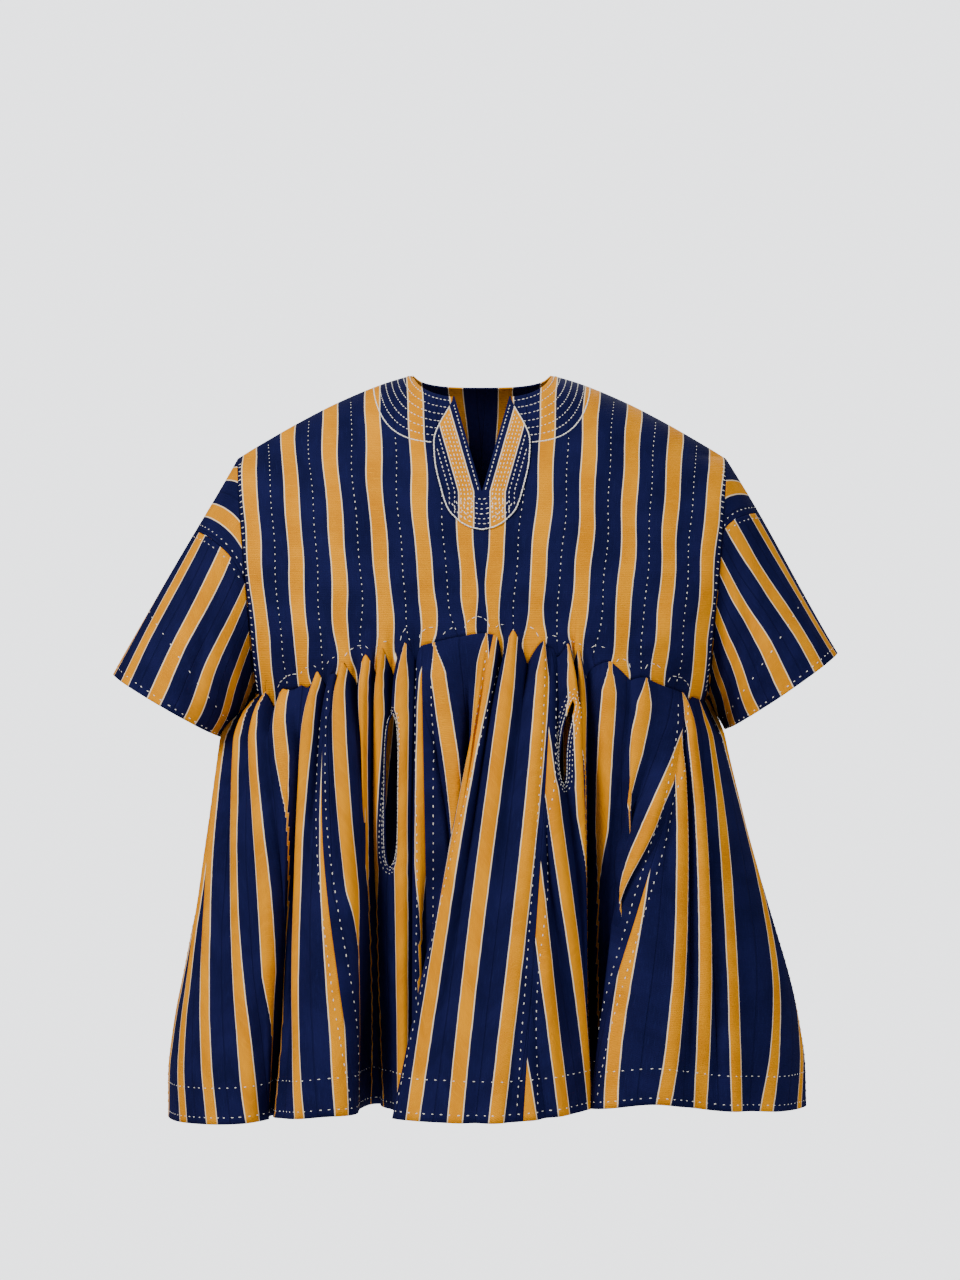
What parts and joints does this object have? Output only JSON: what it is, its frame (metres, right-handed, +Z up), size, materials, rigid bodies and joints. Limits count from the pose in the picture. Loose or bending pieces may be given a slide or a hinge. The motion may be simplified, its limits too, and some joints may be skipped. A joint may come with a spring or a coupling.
{
  "type": "fugu smock",
  "caption": "A worn West African fugu smock of indigo and gold strip cloth: slit neck with a stitched placket, wide short sleeves on shoulder caps and a full skirt gathered into an arched waist seam.",
  "frame": {"origin": "Between the wearer's shoulders at the level where the neck comes through the shoulder line, in the plane that parts the front of the smock from its back", "axes": "+X to the wearer's left, -Y out of the front of the smock, +Z up the body"},
  "size_m": [0.7818, 0.4286, 0.7987],
  "materials": {
    "strip_cloth": "matte",
    "placket_cloth": "matte"
  },
  "bodies": {
    "root": {"yoke_front": "strip_cloth", "yoke_back": "strip_cloth", "neck_placket": "placket_cloth", "shoulder_cap_right": "strip_cloth", "shoulder_cap_left": "strip_cloth", "sleeve_right": "strip_cloth", "sleeve_left": "strip_cloth", "skirt_front_side_right": "strip_cloth", "skirt_front_pocket_right": "strip_cloth", "skirt_front_inner_right": "strip_cloth", "skirt_front_centre": "strip_cloth", "skirt_front_pocket_left": "strip_cloth", "skirt_front_side_left": "strip_cloth", "skirt_back_side_left": "strip_cloth", "skirt_back_left": "strip_cloth", "skirt_back_right": "strip_cloth", "skirt_back_side_right": "strip_cloth"}
  },
  "joints": []
}
